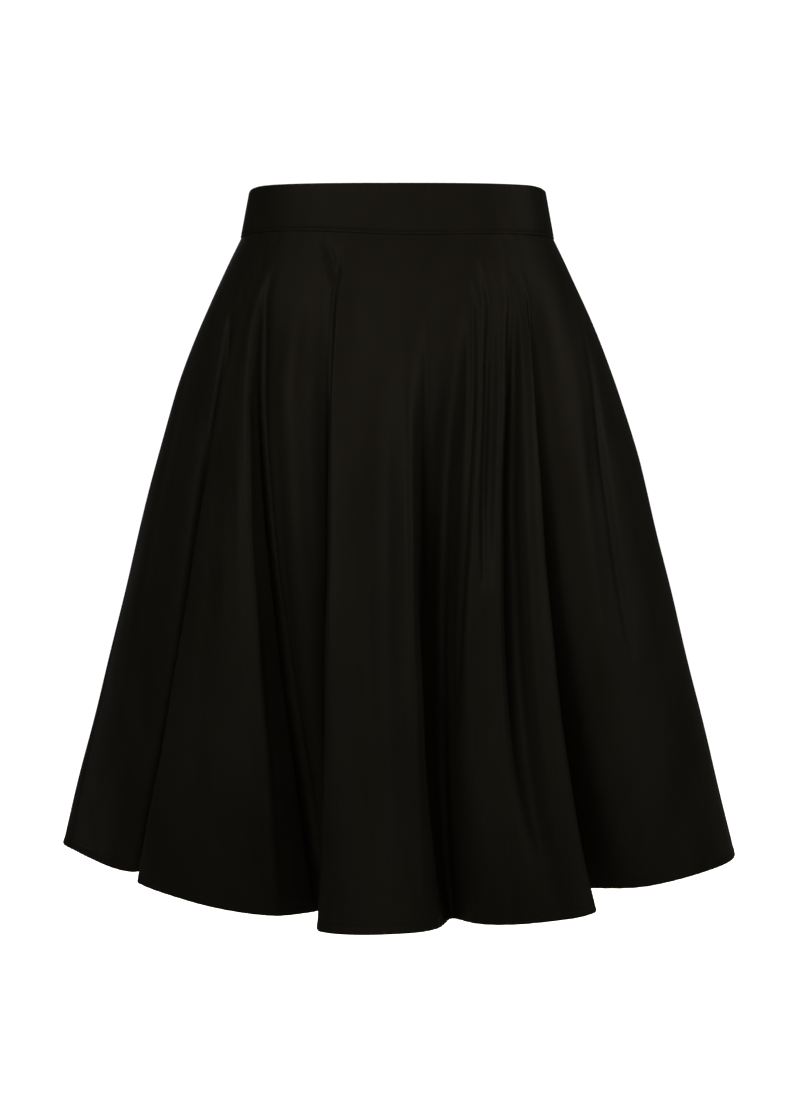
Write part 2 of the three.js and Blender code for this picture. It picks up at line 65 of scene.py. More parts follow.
# Plain ovals that the folds swing in and out of, by share of the drop from seam to hem
SECTION_COLUMNS = ("share", "half_width", "half_depth", "squareness")
SECTION_ROWS = (
    (0.00, 137.0, 96.0, 2.8),
    (0.05, 150.5, 106.0, 2.7),
    (0.11, 166.0, 118.0, 2.55),
    (0.18, 182.0, 131.0, 2.4),
    (0.25, 196.0, 144.0, 2.3),
    (0.37, 215.5, 163.0, 2.2),
    (0.50, 234.0, 182.0, 2.15),
    (0.67, 256.5, 204.0, 2.1),
    (0.84, 278.5, 223.0, 2.1),
    (1.00, 299.0, 240.0, 2.1),
)

# Fold lines in order round the skirt. A fold starts at a share of the drop, its bearing is given
# at the top, middle and hem, and "out" is how far it stands out of the plain oval.
TOP_SHARE = 0.1
MIDDLE_SHARE = 0.5
ONSET = 0.03
ONSET_POWER = 1.3
FOLD_COLUMNS = ("name", "start", "top", "middle", "hem", "out_middle", "out_hem")
FOLD_ROWS = (
    ("side seam right", 0.10, -92, -93, -93, 0, -6),
    ("panel 1 a", 0.10, -85, -85, -86, -3, -19),
    ("panel 1 b", 0.10, -78, -76, -78.5, -6, -29),
    ("panel 1 c", 0.12, -72, -67.5, -71, -8, -32),
    ("panel 1 d", 0.14, -67, -60.5, -65.5, -9, -38),
    ("A hollow", 0.13, -63, -55.2, -59.5, -28, -90),
    ("A back", 0.13, -60.5, -51.8, -54.5, -28, -88),
    ("A edge", 0.13, -59, -53.4, -62.8, 0, -30),
    ("A face", 0.14, -57.5, -51.5, -57.5, 5, -23),
    ("fold 2 a", 0.14, -56.2, -47.5, -50, 5, -24),
    ("fold 2 b", 0.12, -55, -42.5, -39.5, 6, -25),
    ("B ridge", 0.09, -53.5, -37.6, -29.5, 7, -40),
    ("B flank", 0.07, -51.5, -36.6, -26.8, -6, -60),
    ("B hollow", 0.07, -49.5, -35.8, -24, -28, -90),
    ("lobe a", 0.07, -45.5, -33, -21.8, -11, -96),
    ("lobe b", 0.10, -39, -28.5, -20.2, -3, -102),
    ("D hollow", 0.12, -33, -22.8, -18.6, -10, -108),
    ("C hollow", 0.045, -27.6, -17.4, -14.6, -32, -98),
    ("C edge", 0.045, -25.2, -18.9, -18, 1, -19),
    ("C face", 0.06, -23.2, -17, -15.2, 5, -4),
    ("fold 3 a", 0.08, -19.5, -13, -10.5, 3, 4),
    ("fold 3 b", 0.10, -12, -8, -5, 0, 4),
    ("F hollow", 0.12, -3.5, -2.6, -0.5, -6, -1),
    ("G ridge", 0.14, 2.5, 3, 4.5, 7, -6),
    ("H flank", 0.12, 9, 6.2, 8.8, -8, -21),
    ("H slope", 0.10, 17, 10.6, 12, -22, -38),
    ("H hollow", 0.08, 24, 14.6, 14, -38, -68),
    ("I back", 0.07, 28, 17.2, 16.4, -24, -64),
    ("I edge", 0.07, 30.2, 16.9, 17.6, 3, -42),
    ("fold 4 a", 0.07, 32.8, 19.4, 21.5, 4, -26),
    ("J hollow", 0.05, 36.2, 23.2, 25.5, -5, -17),
    ("fold 4 b", 0.06, 40, 26.4, 28.5, 3, -12),
    ("K hollow", 0.05, 43.8, 29.9, 31, -19, -10),
    ("M ridge", 0.06, 46, 33.2, 34.4, 6, -3),
    ("fold 4 c", 0.07, 47.4, 36, 37.8, 4, -3),
    ("L edge", 0.05, 48.6, 38.9, 41.5, 2, -8),
    ("L back", 0.05, 49.8, 40.4, 43.5, -26, -64),
    ("L hollow", 0.05, 51.5, 42, 47.4, -36, -106),
    ("panel 5 a", 0.07, 55, 44.8, 51.2, -16, -66),
    ("panel 5 b", 0.10, 60.5, 49, 54, -7, -32),
    ("panel 5 c", 0.10, 66, 54, 58.5, -4, -20),
    ("N hollow", 0.10, 71, 58.2, 65, -8, -11),
    ("panel 5 d", 0.12, 77, 67, 73, 0, -4),
    ("panel 5 e", 0.12, 83, 79, 81, 1, 0),
    ("side seam left", 0.12, 90, 89, 89, 1, 4),
    ("back 1 a", 0.12, 97, 97, 99, -1, -2),
    ("back 1 b", 0.12, 102, 102, 100, -18, -70),
    ("back 1 c", 0.12, 107, 106.5, 105.5, -20, -72),
    ("back 2 a", 0.10, 111, 109.5, 105.5, 3, 0),
    ("back 2 b", 0.10, 118, 117, 116, 10, 20),
    ("back 2 c", 0.10, 125, 125, 128, 3, 2),
    ("back 3 a", 0.09, 129.5, 130, 128, -24, -80),
    ("back 3 b", 0.09, 135, 134.5, 134.5, -24, -82),
    ("back 4 a", 0.12, 139.5, 138.5, 134.5, 4, 2),
    ("back 4 b", 0.12, 148, 147.5, 146.5, 12, 27),
    ("back 4 c", 0.12, 156, 155.5, 157.5, 5, 4),
    ("back 5 a", 0.15, 161, 160.5, 158, -18, -68),
    ("back 5 b", 0.15, 166.5, 166, 165, -18, -68),
    ("back 6 a", 0.20, 172, 171, 167.5, 2, -4),
    ("centre back", 0.25, 180, 180, 180, 3, 14),
    ("back 7 a", 0.20, 188, 189, 192, 2, -2),
    ("back 8 a", 0.15, 193.5, 194, 193.5, -20, -72),
    ("back 8 b", 0.15, 199, 199.5, 200, -20, -74),
    ("back 9 a", 0.11, 204, 204, 201, 5, 2),
    ("back 9 b", 0.11, 212.5, 213, 213, 13, 28),
    ("back 9 c", 0.11, 220.5, 221.5, 225, 4, 2),
    ("back 10 a", 0.09, 225, 226, 224.5, -23, -80),
    ("back 10 b", 0.09, 230, 230.5, 231, -23, -78),
    ("back 11 a", 0.10, 234.5, 234, 231.5, 3, 0),
    ("back 11 b", 0.10, 240.5, 241, 241.5, 8, 16),
    ("back 11 c", 0.12, 247, 248, 251, -2, -14),
    ("back 11 d", 0.12, 253, 253, 251.5, -12, -52),
    ("right tip", 0.12, 260, 260, 258, 7, 28),
)

# Soft creases laid over the folds. Each runs beside a fold line, shifted by a number of fold lines
# at its top and foot, over a stretch of the drop. Width is the half width on its steep side, and
# its other side is CREASE_FAR_SIDE times as wide. Depth is inwards, so a ridge has one below nought.
# The end power shapes how soon a crease is deep: 1 is a slow rise and 0 an abrupt one.
CREASE_FAR_SIDE = 1.5
CREASE_END_POWER = 0.55
CREASE_COLUMNS = ("line", "shift_top", "shift_foot", "from", "to", "width", "depth")
CREASE_ROWS = (
    ("panel 1 b", 0.0, 0.4, 0.16, 0.80, 9, 1.5),
    ("panel 1 c", 0.4, 0.2, 0.28, 1.05, 7, 1.1),
    ("panel 1 d", -0.3, -0.5, 0.10, 0.46, 6, 0.9),
    ("A hollow", 0.65, -0.5, 0.12, 0.46, 3.2, 6.0),
    ("A hollow", -0.35, -1.04, 0.32, 1.06, 4.0, 11.0),
    ("fold 2 a", 0.3, 0.1, 0.34, 1.02, 8, 1.3),
    ("fold 2 b", 0.4, 0.2, 0.22, 0.72, 6, 0.8),
    ("B ridge", 0.6, 0.3, 0.12, 1.04, 3.2, -2.6),
    ("B flank", 0.95, 1.0, 0.06, 1.04, 3.4, 5.0),
    ("lobe a", 0.5, 0.2, 0.12, 0.58, 6, 1.4),
    ("lobe a", 0.8, -0.2, 0.25, 1.05, 13, 6.0),
    ("D hollow", -0.2, -0.1, 0.10, 0.52, 5, 1.6),
    ("C hollow", -0.8, 0.6, 0.018, 0.075, 2.8, 3.2),
    ("C hollow", 1.0, -1.75, 0.045, 1.03, 2.4, 5.4),
    ("fold 3 a", 0.5, 0.1, 0.06, 0.34, 8, 1.0),
    ("fold 3 b", -0.3, 0.4, 0.30, 0.86, 7, 0.9),
    ("F hollow", -0.5, -0.4, 0.26, 1.05, 10, 3.2),
    ("G ridge", 0.2, 0.1, 0.16, 1.03, 4.5, -1.6),
    ("H flank", 0.5, 0.3, 0.08, 0.44, 7, 1.2),
    ("H flank", 0.6, 0.9, 0.09, 1.04, 13, 7.0),
    ("fold 4 a", 0.4, 0.7, 0.50, 1.02, 8, 1.2),
    ("H slope", -0.6, 0.4, 0.08, 0.60, 5, 3.0),
    ("I edge", -0.3, -0.3, 0.07, 0.66, 3.4, 5.0),
    ("J hollow", 0.0, 0.0, 0.035, 0.52, 4.8, 7.4),
    ("K hollow", 0.2, 0.2, 0.05, 0.92, 4.2, 7.5),
    ("fold 4 b", 0.0, 0.0, 0.60, 1.04, 8, 1.6),
    ("K hollow", 0.4, 0.5, 0.42, 1.06, 8, 3.4),
    ("M ridge", 0.2, 0.1, 0.30, 1.03, 5.5, -1.4),
    ("L edge", 0.25, 0.55, 0.04, 0.95, 3.0, 4.4),
    ("panel 5 c", 0.2, 0.2, 0.14, 0.66, 7, 1.2),
    ("N hollow", 0.0, 0.1, 0.12, 0.66, 3.6, 2.8),
    ("panel 5 d", 0.4, 0.2, 0.20, 0.92, 10, 1.5),
    ("panel 5 e", 0.6, 0.4, 0.36, 1.04, 8, 1.0),
    ("back 1 a", 0.0, 0.3, 0.10, 0.70, 7, 1.2),
    ("back 2 b", 0.3, -0.2, 0.14, 0.82, 7, 1.1),
    ("back 3 b", 0.4, 0.6, 0.08, 0.40, 6, 1.0),
    ("back 4 b", -0.3, -0.1, 0.26, 0.96, 8, 1.4),
    ("back 4 c", 0.1, 0.3, 0.10, 0.50, 6, 1.0),
    ("back 6 a", 0.2, 0.0, 0.30, 0.92, 7, 1.1),
    ("back 7 a", -0.2, 0.1, 0.16, 0.66, 7, 1.3),
    ("back 9 a", 0.5, 0.4, 0.08, 0.42, 6, 1.0),
    ("back 9 b", 0.3, 0.2, 0.34, 1.00, 8, 1.4),
    ("back 11 b", 0.0, -0.3, 0.20, 0.78, 7, 1.2),
    ("back 11 d", 0.3, 0.2, 0.12, 0.48, 6, 1.0),
)

# Easing puckers under the waistband: bearing, half width and depth, uneven round the waist
PUCKER_REACH = 14.0
PUCKER_ROWS = (
    (-118, 4, 0.3), (-84, 5, 0.2), (-61, 4, 0.4), (-52, 3, 0.5), (-44, 4, 0.3), (-33, 3, 0.4),
    (-27, 3, 0.5), (26, 4, 0.2), (33, 3, 0.4), (38, 3, 0.5), (45, 3, 0.4), (51, 3, 0.5),
    (60, 4, 0.3), (97, 4, 0.3), (113, 4, 0.4), (131, 4, 0.4), (149, 5, 0.2), (164, 3, 0.4),
    (-162, 3, 0.4), (-146, 4, 0.2), (-130, 4, 0.4),
)

# Long shallow waves of the cloth: waves round the skirt, waves down it, turn in degrees and height.
# They grow between two distances below the waistband.
WAVE_GROWTH = (8, 60)
WAVE_ROWS = (
    (13, 1.3, 20, 0.34),
    (22, 2.1, 130, 0.22),
    (34, 3.4, 250, 0.10),
    (9, 4.6, 75, 0.30),
)

# Cloth: half its thickness, and how far its top runs on under the waistband
CLOTH_HALF = 0.45
TUCK_UNDER_BAND = 2.4
TUCK_HALF = CLOTH_HALF / 2

# Turned hem: its depth, the layers it adds inside, and how soft and how round its edges are
HEM_DEPTH = 9.0
HEM_LAYERS = 0.9
HEM_STEP_SOFTNESS = 1.2
HEM_ROUND_TURNS = (45, 90, 135)
HEM_ROUND_DROP = 0.8

# Width and depth of the troughs along the hem's stitches and along the top of its turning
HEM_STITCH_UP = 6.0
HEM_STITCH_TROUGH = (1.0, 0.2)
HEM_TOP_UP = HEM_DEPTH + 1.0
HEM_TOP_TROUGH = (1.4, 0.1)

# Roping: slanting ripples below the stitches that drift in pitch round the hem
HEM_ROPING_PITCH = 11.0
HEM_ROPING = 0.36
HEM_ROPING_SLANT = 14.0
HEM_ROPING_DRIFT = 0.35
HEM_ROPING_DRIFT_LENGTH = 37.0
HEM_ROPING_FOOT = 2.0

# Seams between the panels, and the mesh columns beside them in millimetres from the seam
SEAM_GROOVE = 0.5
SEAM_GROOVE_WIDTH = 0.9
SEAM_COLUMNS = (0.0, 0.35, 0.8, 1.5, 2.6)

# Mesh rows by share of the drop: those by the seam, first, last and number between, those by the hem
ROWS_AT_SEAM = (0, 0.002, 0.005, 0.009, 0.014, 0.02, 0.027, 0.035, 0.044, 0.054, 0.065)
ROWS_BETWEEN = (0.075, 0.975, 92)
ROWS_AT_HEM = (0.979, 0.982, 0.9845, 0.9865, 0.988, 0.9895, 0.9915, 0.994, 0.9965, 0.9985, 1)

# Mesh columns between two fold lines, and steps that the slopes of the cloth are measured over
FRONT_STEPS = 9
BACK_STEPS = 12
ROUND_STEP = 0.02
DOWN_STEP = 0.004

# Waistband: half its thickness, its rounded edges, and the ditch that its stitches lie in
BAND_HALF = 1.0
BAND_EDGE_RADIUS = 0.9
BAND_EDGE_TURNS = (90, 60, 30, 0)
BAND_STITCH_UP = 2.3
BAND_DITCH_HALF = 0.8
BAND_DITCH_DEPTH = 0.4
BAND_STITCH_SINK = 0.32

# Mesh rows down the waistband by level, columns by bearing, and columns beside its seams in
# millimetres from the seam
BAND_LEVELS = (0.86, 0.7, 0.55, 0.4, 0.25, 0.14)
BAND_STEP_DEGREES = 1.0
BAND_SEAM_COLUMNS = (0.0, 0.3)
BAND_SEAM_THINNING = 0.75
BAND_MEAN_RADIUS = 100

# Ripples round the waistband: height, waves in a whole turn, and shift in radians
BAND_RIPPLES = ((0.12, 19, 0.8), (0.08, 43, 0.0))

# Stitches: their size, how unevenly they are sewn, and the form of one of unit length as places
# along it with how thick it is there
STITCH_PITCH = 3.0
STITCH_LENGTH = 2.3
STITCH_WIDTH = 0.42
STITCH_HEIGHT = 0.3
STITCH_LENGTH_SPREAD = (0.93, 1.05)
STITCH_SKEW = 0.05
STITCH_AHEAD = 0.5
STITCH_SIDES = 6
STITCH_RINGS = ((-0.5, 0.35), (-0.38, 0.85), (0.0, 1.0), (0.38, 0.85), (0.5, 0.35))
HEM_STITCH_LIFT = 0.02
HEM_PATH_POINTS = 2400
BAND_PATH_POINTS = 400
BAND_STITCH_GAP = 0.7

# Zip: half the slit at centre back at two heights, the tapes, the coils and the metal pieces
SLIT_CLOSED = 0.1
SLIT_OPEN = 0.9
SLIT_HEIGHTS = (0.0, 3.5)
TAPE_TOP = 13.0
TAPE_BOTTOM = -190.0
TAPE_WIDTH = 12.5
TAPE_WALL = 0.7
TAPE_CLEARANCE = 0.5
TAPE_RIPPLE = 0.12
TAPE_RIPPLE_RATE = 1.1
TAPE_ROWS = 90
TAPE_COLUMNS = 7
TAPE_BEARING = 172.0
TOOTH_PITCH = 1.3
TOOTH_SIZE = (1.7, 0.75, 0.42)
TOOTH_REACH = 0.35
TEETH_TOP = 3.0
TEETH_BOTTOM = -184.0
SLIDER_EDGE = 0.15
PULL_EDGE = 0.2
SHARP_DEGREES = 30


def table(columns, rows):
    """Columns of a table as arrays, names as a list."""
    return {
        column: [row[i] for row in rows] if isinstance(rows[0][i], str)
        else np.array([row[i] for row in rows], float)
        for i, column in enumerate(columns)
    }


SECTIONS = table(SECTION_COLUMNS, SECTION_ROWS)
FOLDS = table(FOLD_COLUMNS, FOLD_ROWS)
CREASES = table(CREASE_COLUMNS, CREASE_ROWS)
FOLD_COUNT = len(FOLD_ROWS)


def fold_index(name):
    """Place of a fold line in the table."""
    return FOLDS["name"].index(name)


def ramp(value, low, high):
    """A smooth rise from 0 at low to 1 at high."""
    share = np.clip((np.asarray(value, float) - low) / (high - low), 0, 1)
    return share * share * (3 - 2 * share)


def signed(bearing):
    """Degrees from centre front, -180 to 180."""
    return (np.asarray(bearing, float) + 180) % 360 - 180


def bearing_of(points):
    """Degrees round the skirt from centre front."""
    return np.degrees(np.arctan2(points[..., 0], -points[..., 1]))


def seam_height(bearing):
    """Height of the seam under the waistband."""
    turned = signed(bearing)
    height = BAND_SEAM - SEAM_DROP * ramp(np.abs(turned), *SEAM_DROP_BEARINGS)
    for at, lift in SEAM_LIFTS:
        height = height + lift * np.exp(-(((turned - at) / SEAM_LIFT_WIDTH) ** 2))
    return height


def top_height(bearing):
    """Height of the waistband's top edge."""
    return BAND_TOP - TOP_DROP * ramp(np.abs(signed(bearing)), *TOP_DROP_BEARINGS)


def hem_height(bearing):
    """Height of the hem."""
    rise = ramp(np.abs(signed(bearing)), *HEM_RISE_BEARINGS)
    return HEM_FRONT + (HEM_SIDE - HEM_FRONT) * rise


def oval_reach(angle, half_width, half_depth, squareness):
    """Distance from the axis to a squared oval."""
    across = np.abs(np.sin(angle) / half_width) ** squareness
    along = np.abs(np.cos(angle) / half_depth) ** squareness
    return (across + along) ** (-1 / squareness)


def section(share):
    """Smooth half width, half depth and squareness of the plain oval at each share."""
    knots = SECTIONS["share"]
    values = np.stack([SECTIONS[c] for c in SECTION_COLUMNS[1:]], axis=1)
    slopes = np.empty_like(values)
    slopes[1:-1] = (values[2:] - values[:-2]) / (knots[2:] - knots[:-2])[:, None]
    slopes[0] = (values[1] - values[0]) / (knots[1] - knots[0])
    slopes[-1] = (values[-1] - values[-2]) / (knots[-1] - knots[-2])
    k = np.clip(np.searchsorted(knots, share, side="right") - 1, 0, len(knots) - 2)
    span = knots[k + 1] - knots[k]
    s = ((share - knots[k]) / span)[:, None]
    rise = s * s * (3 - 2 * s)
    leave = s * (1 - s) ** 2 * span[:, None] * slopes[k]
    arrive = s * s * (s - 1) * span[:, None] * slopes[k + 1]
    return (values[k] * (1 - rise) + values[k + 1] * rise + leave + arrive).T


def fold_lines(share):
    """Plan positions of all fold lines at each share."""
    s = np.maximum(share, TOP_SHARE)[:, None]
    a, b = TOP_SHARE, MIDDLE_SHARE
    top = (s - b) * (s - 1) / ((a - b) * (a - 1))
    middle = (s - a) * (s - 1) / ((b - a) * (b - 1))
    hem = (s - a) * (s - b) / ((1 - a) * (1 - b))
    angle = np.radians(FOLDS["top"] * top + FOLDS["middle"] * middle + FOLDS["hem"] * hem)

    start = FOLDS["start"]
    grown = np.maximum(0, (share[:, None] - start) / (1 - start))
    half = (MIDDLE_SHARE - start) / (1 - start)
    bend = (FOLDS["out_hem"] - FOLDS["out_middle"] / half) / (1 - half)
    onset = 1 - np.exp(-((grown / ONSET) ** ONSET_POWER))
    out = grown * (FOLDS["out_hem"] - bend + bend * grown) * onset

    half_width, half_depth, squareness = (value[:, None] for value in section(share))
    reach = oval_reach(angle, half_width, half_depth, squareness) + out
    return np.stack([reach * np.sin(angle), -reach * np.cos(angle)], axis=2)


def cloth_middle(along, share):
    """Middle of the cloth at along[rows, columns] and share[rows]: a closed cubic B-spline
    through the fold lines. along counts fold lines, share runs from the seam to the hem."""
    lines = fold_lines(np.clip(share, 0, 1))
    rows = np.arange(len(share))[:, None]
    k = np.floor(along).astype(int)
    f = along - k
    weights = (
        (1 - f) ** 3 / 6,
        (3 * f ** 3 - 6 * f ** 2 + 4) / 6,
        (-3 * f ** 3 + 3 * f ** 2 + 3 * f + 1) / 6,
        f ** 3 / 6,
    )
    plan = sum(w[..., None] * lines[rows, (k - 1 + i) % FOLD_COUNT] for i, w in enumerate(weights))
    bearing = bearing_of(plan)
    top = seam_height(bearing)
    height = top + (hem_height(bearing) - top) * share[:, None]
    return np.concatenate([plan, height[..., None]], axis=2)


# Keeps the level part of a direction
LEVEL_PARTS = np.array([1, 1, 0])


def unit(vectors):
    """The same directions at a length of 1."""
    return vectors / np.maximum(np.linalg.norm(vectors, axis=-1, keepdims=True), 1e-12)


def trough(distance, width, depth):
    """Depth of a rounded trough at a distance from its middle."""
    return depth * np.exp(-((distance / width) ** 2))


def cloth_frame(along, share):
    """Outward normal of the cloth, and its millimetres for one unit of along."""
    ahead = cloth_middle(along + ROUND_STEP, share)
    behind = cloth_middle(along - ROUND_STEP, share)
    below = cloth_middle(along, np.minimum(1, share + DOWN_STEP))
    above = cloth_middle(along, np.maximum(0, share - DOWN_STEP))
    normal = unit(np.cross(below - above, ahead - behind))
    speed = np.linalg.norm(ahead - behind, axis=2) / (2 * ROUND_STEP)
    return normal, speed


def relief(along, share, speed, middle):
    """Creases, puckers and long waves, in millimetres along the normal."""
    down = share[:, None]
    height = np.zeros_like(along)
    for i, line in enumerate(CREASES["line"]):
        low, high = CREASES["from"][i], CREASES["to"][i]
        t = np.clip((down - low) / (high - low), 0, 1)
        at = fold_index(line) + CREASES["shift_top"][i] * (1 - t) + CREASES["shift_foot"][i] * t
        apart = (along - at + FOLD_COUNT / 2) % FOLD_COUNT - FOLD_COUNT / 2
        width = CREASES["width"][i] * np.where(apart < 0, 1, CREASE_FAR_SIDE)
        crease = trough(apart * speed, width, CREASES["depth"][i])
        height -= crease * np.sin(math.pi * t) ** CREASE_END_POWER

    bearing = bearing_of(middle)
    reach = np.hypot(middle[..., 0], middle[..., 1])
    drop = down * (seam_height(bearing) - hem_height(bearing))
    fade = trough(drop, PUCKER_REACH, 1)
    for at, width, depth in PUCKER_ROWS:
        apart = np.radians(signed(bearing - at)) * reach
        height -= trough(apart, width, depth) * fade

    growth = ramp(drop, *WAVE_GROWTH)
    for around, down_waves, turn, size in WAVE_ROWS:
        phase = along / FOLD_COUNT * around + down * down_waves + turn / 360
        height += size * np.sin(2 * math.pi * phase) * growth
    return height


def grid_arcs(points):
    """Distance along each row from the middle column, and down each column from the top."""
    steps = np.linalg.norm(np.diff(points, axis=1), axis=2)
    across = np.concatenate([np.zeros((len(points), 1)), np.cumsum(steps, axis=1)], axis=1)
    across -= across[:, across.shape[1] // 2][:, None]
    steps = np.linalg.norm(np.diff(points, axis=0), axis=2)
    down = np.concatenate([np.zeros((1, points.shape[1])), np.cumsum(steps, axis=0)], axis=0)
    return across, down


def new_mesh(name, points, faces, uvs=None):
    """Smooth mesh object from points in millimetres; uvs are one pair for each point."""
    mesh = bpy.data.meshes.new(name)
    mesh.from_pydata([tuple(p) for p in np.asarray(points) * MM], [], faces)
    mesh.validate()
    mesh.shade_smooth()
    if uvs is not None:
        layer = mesh.uv_layers.new(name="cloth")
        corners = np.empty(len(mesh.loops), int)
        mesh.loops.foreach_get("vertex_index", corners)
        layer.data.foreach_set("uv", (np.asarray(uvs)[corners] * MM).ravel())
    thing = bpy.data.objects.new(name, mesh)
    bpy.context.scene.collection.objects.link(thing)
    return thing


def shell(name, rings, outer_rows, uvs):
    """Closed wall from rings[rows, columns]: the first outer_rows go down the outside, then the
    rows go round the edge and back up the inside. Both ends of the columns are capped."""
    rows, columns = rings.shape[:2]

    def at(i, j):
        return (i % rows) * columns + j

    faces = [
        (at(i, j), at(i + 1, j), at(i + 1, j + 1), at(i, j + 1))
        for i in range(rows)
        for j in range(columns - 1)
    ]
    for i in range(outer_rows - 1):
        low, high = rows - 1 - i, rows - 2 - i
        faces.append((at(i + 1, 0), at(i, 0), at(low, 0), at(high, 0)))
        last = columns - 1
        faces.append((at(i, last), at(i + 1, last), at(high, last), at(low, last)))
    if rows > 2 * outer_rows:
        edge = range(outer_rows - 1, rows - outer_rows + 1)
        faces.append(tuple(at(i, 0) for i in reversed(edge)))
        faces.append(tuple(at(i, columns - 1) for i in edge))
    return new_mesh(name, rings.reshape(-1, 3), faces, uvs.reshape(-1, 2))


def levels():
    """Shares of the drop for the mesh rows: close together at the seam and hem."""
    return np.concatenate([ROWS_AT_SEAM, np.linspace(*ROWS_BETWEEN), ROWS_AT_HEM])


def hem_relief(middle, share):
    """The stitched hem: two shallow troughs and a slight roping below them."""
    bearing = bearing_of(middle)
    up = (1 - share[:, None]) * (seam_height(bearing) - hem_height(bearing))
    troughs = trough(up - HEM_STITCH_UP, *HEM_STITCH_TROUGH) + trough(up - HEM_TOP_UP, *HEM_TOP_TROUGH)
    steps = np.linalg.norm(np.diff(middle, axis=1), axis=2)
    round_arc = np.concatenate([np.zeros((len(share), 1)), np.cumsum(steps, axis=1)], axis=1)
    drift = HEM_ROPING_DRIFT * np.sin(round_arc / HEM_ROPING_DRIFT_LENGTH)
    phase = round_arc / HEM_ROPING_PITCH + up / HEM_ROPING_SLANT + drift
    roping = HEM_ROPING * np.sin(2 * math.pi * phase) * (1 - ramp(up, HEM_ROPING_FOOT, HEM_DEPTH))
    return roping - troughs


def cloth_surface(along, share):
    """Middle of the cloth, its outward normal and the height of its relief."""
    middle = cloth_middle(along, share)
    normal, speed = cloth_frame(along, share)
    height = relief(along, share, speed, middle) + hem_relief(middle, share)
    return middle, normal, height


def skirt_panel(name, from_name, to_name, steps_per_line):
    """One panel of the skirt between two of its seams, with a turned hem and soft seam edges.
    Returns the piece, the lengths of its seam edge and hem edge, and the length between them."""
    first = fold_index(from_name)
    last = fold_index(to_name)
    if last <= first:
        last += FOLD_COUNT
    share = levels()
    ends = np.full((len(share), 2), [first, last], float)
    speed = cloth_frame(ends, share)[1]
    inset = np.array(SEAM_COLUMNS)
    t = np.linspace(0, 1, (last - first) * steps_per_line - 1)
    head = first + inset[-1] / speed[:, :1]
    tail = last - inset[-1] / speed[:, 1:]
    along = np.concatenate([
        first + inset[None, :-1] / speed[:, :1],
        head + (tail - head) * t,
        last - inset[None, -2::-1] / speed[:, 1:],
    ], axis=1)

    middle, normal, height = cloth_surface(along, share)
    across, down = grid_arcs(middle)
    from_seam = np.minimum(across - across[:, :1], across[:, -1:] - across)
    groove = trough(from_seam, SEAM_GROOVE_WIDTH, SEAM_GROOVE)
    up = down[-1:] - down
    turned = HEM_LAYERS * (1 - ramp(up, HEM_DEPTH - HEM_STEP_SOFTNESS, HEM_DEPTH))
    outer = middle + normal * (height + CLOTH_HALF - groove)[..., None]
    inner = middle + normal * (height - CLOTH_HALF - turned)[..., None]

    # the top runs on under the waistband, in the thickness of its wall
    tuck = middle[:1].copy()
    tuck[..., 2] += TUCK_UNDER_BAND
    level = unit(normal[:1] * LEVEL_PARTS)
    tuck_outer = tuck + level * TUCK_HALF
    tuck_inner = tuck - level * TUCK_HALF

    # a half round at the foot of the hem
    thick = outer[-1:] - inner[-1:]
    centre = inner[-1:] + thick / 2
    round_foot = []
    for turn in HEM_ROUND_TURNS:
        angle = math.radians(turn)
        fall = np.linalg.norm(thick, axis=2, keepdims=True) / 2 * math.sin(angle)
        round_foot.append(centre + thick / 2 * math.cos(angle) - fall * np.array([0, 0, HEM_ROUND_DROP]))
    rings = np.concatenate([tuck_outer, outer, *round_foot, inner[::-1], tuck_inner])
    flat = np.stack([across, -down], axis=2)
    top_flat = flat[:1] + np.array([0, TUCK_UNDER_BAND])
    foot_flat = [flat[-1:]] * len(HEM_ROUND_TURNS)
    uvs = np.concatenate([top_flat, flat, *foot_flat, flat[::-1], top_flat])
    piece = shell(name, rings, len(share) + 1, uvs)
    seam_width, hem_width = (float(across[i, -1] - across[i, 0]) for i in (0, -1))
    slant = float(down[-1].mean())
    return piece, seam_width, hem_width, slant


def band_point(bearing, level):
    """Points in the middle of the waistband's wall: level 0 is its seam edge and 1 its top edge."""
    seam = section(np.zeros(1))[:, 0]
    oval = [low + (high - low) * level for low, high in zip(seam, BAND_TOP_OVAL)]
    angle = np.radians(bearing)
    reach = oval_reach(angle, *oval)
    low = seam_height(bearing)
    height = low + (top_height(bearing) - low) * level
    return np.stack([reach * np.sin(angle), -reach * np.cos(angle), height], axis=-1)


def slit_half(height):
    """Half of the opening at centre back, which parts a little round the slider's neck."""
    return SLIT_CLOSED + (SLIT_OPEN - SLIT_CLOSED) * ramp(height, *SLIT_HEIGHTS)


def band_profile():
    """Outside and inside of the waistband's wall, each row of points as the kind of its height, the
    height, and the offset from the wall's middle. The outside runs down and the inside back up."""
    r = BAND_EDGE_RADIUS
    turns = [math.radians(turn) for turn in BAND_EDGE_TURNS]
    edge = [(r - r * math.sin(a), BAND_HALF - r + r * math.cos(a)) for a in turns]
    outer = [("below top", height, offset) for height, offset in edge]
    outer += [("level", level, BAND_HALF) for level in BAND_LEVELS]
    outer += [
        ("above seam", BAND_STITCH_UP + BAND_DITCH_HALF, BAND_HALF),
        ("above seam", BAND_STITCH_UP, BAND_HALF - BAND_DITCH_DEPTH),
        ("above seam", BAND_STITCH_UP - BAND_DITCH_HALF, BAND_HALF),
    ]
    outer += [("above seam", height, offset) for height, offset in reversed(edge)]
    inner = [(kind, height, -offset) for kind, height, offset in reversed(outer)]
    return outer, inner


def band_ripple(bearing):
    """How far the waistband stands out or in by bearing, because cloth is never quite even."""
    angle = np.radians(bearing)
    return sum(size * np.sin(angle * rate + shift) for size, rate, shift in BAND_RIPPLES)


